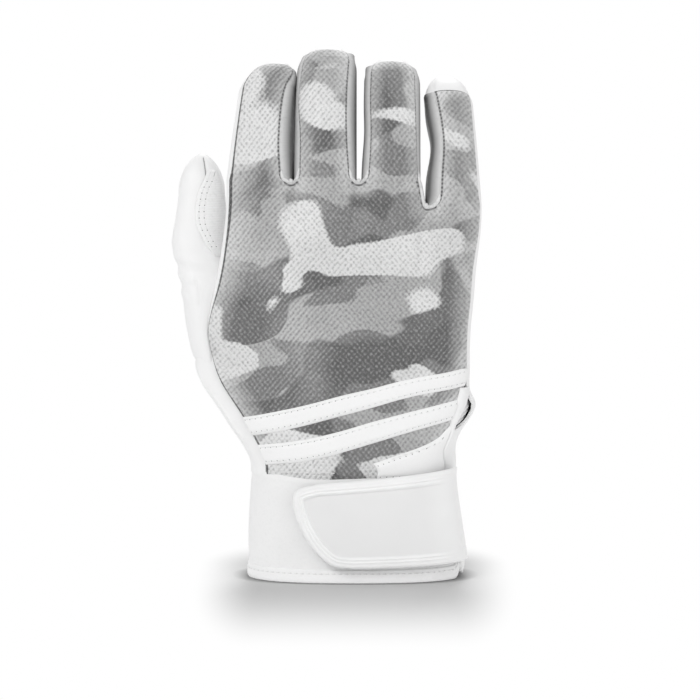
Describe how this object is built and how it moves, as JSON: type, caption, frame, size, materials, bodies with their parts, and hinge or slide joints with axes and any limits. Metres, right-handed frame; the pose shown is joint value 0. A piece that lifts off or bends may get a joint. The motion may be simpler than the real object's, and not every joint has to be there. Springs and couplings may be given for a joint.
{
  "type": "batting glove",
  "caption": "Right-hand batting glove with mesh back, leather palm and a hook-and-loop wrist strap that peels open.",
  "frame": {"origin": "centre of the footprint box, on the surface that the cuff stands on", "axes": "+Z from the hem towards the fingertips, -Y the back of the hand, +Y the palm, -X the thumb"},
  "size_m": [0.1332, 0.0594, 0.229],
  "materials": {
    "mesh": "grey camouflage print on a diamond-knit mesh",
    "leather": "white fine-grained synthetic leather",
    "knit": "smooth white stretch knit",
    "tape": "white woven tape, stitched at both edges",
    "pile": "off-white hook or loop pile and elastic",
    "rubber": "white satin moulded rubber"
  },
  "bodies": {
    "hand": {"back_panel": "mesh", "palm_panel": "leather", "thumb_base": "leather", "web_index_middle": "knit", "web_middle_ring": "knit", "web_ring_little": "knit", "upper_stripe": "tape", "lower_stripe": "tape", "wedge_panel": "tape", "vent_binding": "tape", "cuff_band": "knit", "cuff_hem_tape": "tape", "wrist_elastic": "pile", "loop_patch": "pile", "strap_root": "tape"},
    "index": {"index_back": "mesh", "index_palm": "leather", "index_fourchette_ulnar_side": "knit"},
    "middle": {"middle_back": "mesh", "middle_palm": "leather", "middle_fourchette_ulnar_side": "knit", "middle_fourchette_thumb_side": "knit"},
    "ring": {"ring_back": "mesh", "ring_palm": "leather", "ring_fourchette_ulnar_side": "knit", "ring_fourchette_thumb_side": "knit"},
    "little": {"little_back": "mesh", "little_palm": "leather", "little_fourchette_thumb_side": "knit"},
    "thumb": {"thumb_inner": "leather", "thumb_outer": "leather", "thumb_patch": "leather"},
    "strap": {"strap_webbing": "tape", "strap_tab": "rubber", "hook_patch": "pile"}
  },
  "joints": [
    {"name": "index_flex", "type": "hinge", "parent": "hand", "child": "index", "pos_m": [-0.03066, 0.01425, 0.172], "axis": [-1, 0, 0], "range_deg": [0, 70]},
    {"name": "middle_flex", "type": "hinge", "parent": "hand", "child": "middle", "pos_m": [0.00034, 0.01425, 0.172], "axis": [-1, 0, 0], "range_deg": [0, 70]},
    {"name": "ring_flex", "type": "hinge", "parent": "hand", "child": "ring", "pos_m": [0.02754, 0.01425, 0.172], "axis": [-1, 0, 0], "range_deg": [0, 70]},
    {"name": "little_flex", "type": "hinge", "parent": "hand", "child": "little", "pos_m": [0.05454, 0.01425, 0.1615], "axis": [-1, 0, 0], "range_deg": [0, 70]},
    {"name": "thumb_flex", "type": "hinge", "parent": "hand", "child": "thumb", "pos_m": [-0.05316, 0.03085, 0.136], "axis": [-1, 0, 0], "range_deg": [0, 40]},
    {"name": "strap_peel", "type": "hinge", "parent": "hand", "child": "strap", "pos_m": [0.05924, -0.0032, 0.0285], "axis": [-0.03, 0, 0.9996], "range_deg": [0, 110]}
  ]
}
